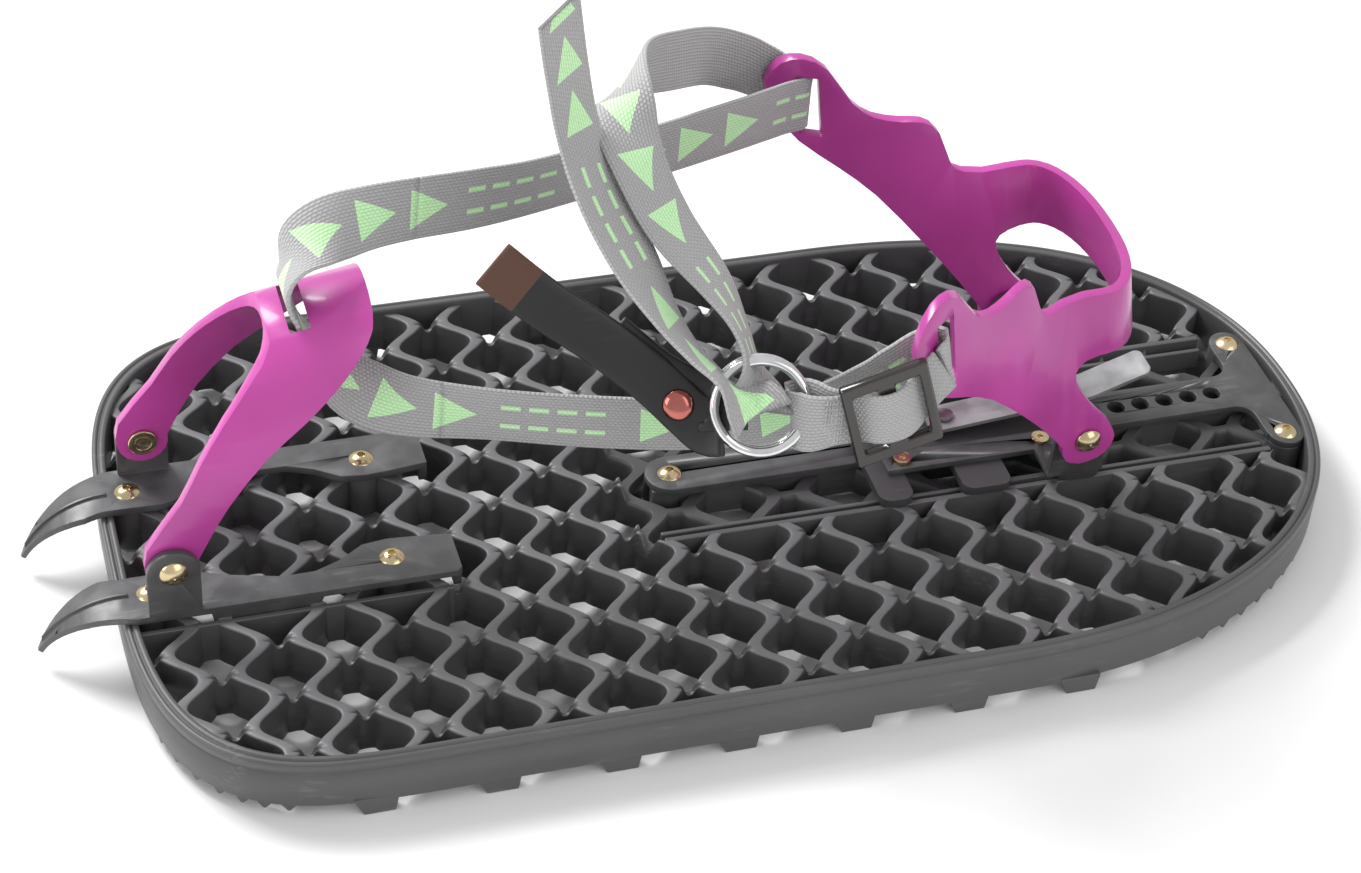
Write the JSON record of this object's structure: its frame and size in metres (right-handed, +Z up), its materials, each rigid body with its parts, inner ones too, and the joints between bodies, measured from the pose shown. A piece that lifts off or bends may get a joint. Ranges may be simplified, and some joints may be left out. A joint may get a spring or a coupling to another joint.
{
  "type": "snowshoe",
  "caption": "Short plastic snowshoe with a honeycomb deck, claw bars, a hinged toe loop, a heel cup on a size slider and a webbing strap with a ring buckle.",
  "frame": {"origin": "on the ground below the middle of the object's bounding box, claws included", "axes": "+X from the toe to the heel, +Y to the wearer's right, +Z up"},
  "size_m": [0.425, 0.21, 0.2055],
  "materials": {
    "deck_plastic": "moulded nylon, satin",
    "dark_plastic": "moulded, satin",
    "claw_metal": "dark grey coated steel",
    "plate_metal": "dark grey coated steel",
    "bare_metal": "satin steel",
    "magenta_plastic": "flexible moulded plastic, satin gloss",
    "brass": "nickel brass, polished",
    "webbing": "woven polyester webbing, printed",
    "chrome": "polished",
    "glide_plastic": "glossy acetal",
    "tab_leather": "coated strip, cut end brown"
  },
  "bodies": {
    "deck": {"deck": "deck_plastic", "claw_bar_left": "claw_metal", "claw_bar_right": "claw_metal", "claw_screws": "brass", "claw_nuts": "bare_metal", "toe_rivets": "brass", "toe_eyelets": "brass", "rail_plate": "plate_metal", "rail_screws": "brass", "rail_nuts": "bare_metal", "strap_lower": "webbing", "strap_upper": "webbing"},
    "toe_loop": {"toe_loop": "magenta_plastic"},
    "carriage": {"heel_carriage": "dark_plastic", "heel_bracket": "bare_metal", "bracket_screws": "brass", "lever_rivet": "brass", "heel_rivets": "brass", "heel_washers": "dark_plastic"},
    "size_lever": {"size_lever": "bare_metal", "lock_pin": "bare_metal"},
    "heel_cup": {"heel_cup": "magenta_plastic", "strap_crossover": "webbing", "strap_tail": "webbing", "strap_ring_end": "webbing"},
    "buckle": {"ring_front": "chrome", "ring_back": "chrome"},
    "pull_tab": {"pull_tab": "tab_leather", "pull_tab_rivet": "brass"},
    "triglide": {"triglide": "glide_plastic"}
  },
  "joints": [
    {"name": "toe_hinge", "type": "hinge", "parent": "deck", "child": "toe_loop", "pos_m": [-0.1715, 0, 0.0405], "axis": [0, 1, 0], "range_deg": [-30, 20], "deforming": ["strap_upper", "strap_lower"]},
    {"name": "heel_slide", "type": "slide", "parent": "deck", "child": "carriage", "axis": [1, 0, 0], "range_m": [-0.00875, 0.04375]},
    {"name": "lever_hinge", "type": "hinge", "parent": "carriage", "child": "size_lever", "pos_m": [0.086, 0, 0.026], "axis": [0, 1, 0], "range_deg": [0, 5.5]},
    {"name": "heel_hinge", "type": "hinge", "parent": "carriage", "child": "heel_cup", "pos_m": [0.12, 0, 0.0415], "axis": [0, 1, 0], "range_deg": [-12, 25]},
    {"name": "buckle_swing", "type": "hinge", "parent": "heel_cup", "child": "buckle", "pos_m": [0.0106, -0.068, 0.099], "axis": [0.121, 0.485, 0.8661], "range_deg": [-12, 12], "deforming": ["strap_crossover", "strap_tail", "strap_ring_end"]},
    {"name": "tab_swing", "type": "hinge", "parent": "buckle", "child": "pull_tab", "pos_m": [-0.0156, -0.0605, 0.099], "axis": [0.121, 0.485, 0.8661], "range_deg": [-15, 15]},
    {"name": "triglide_slide", "type": "slide", "parent": "heel_cup", "child": "triglide", "axis": [0.9613, 0, 0.2756], "range_m": [-0.004, 0.003]}
  ]
}
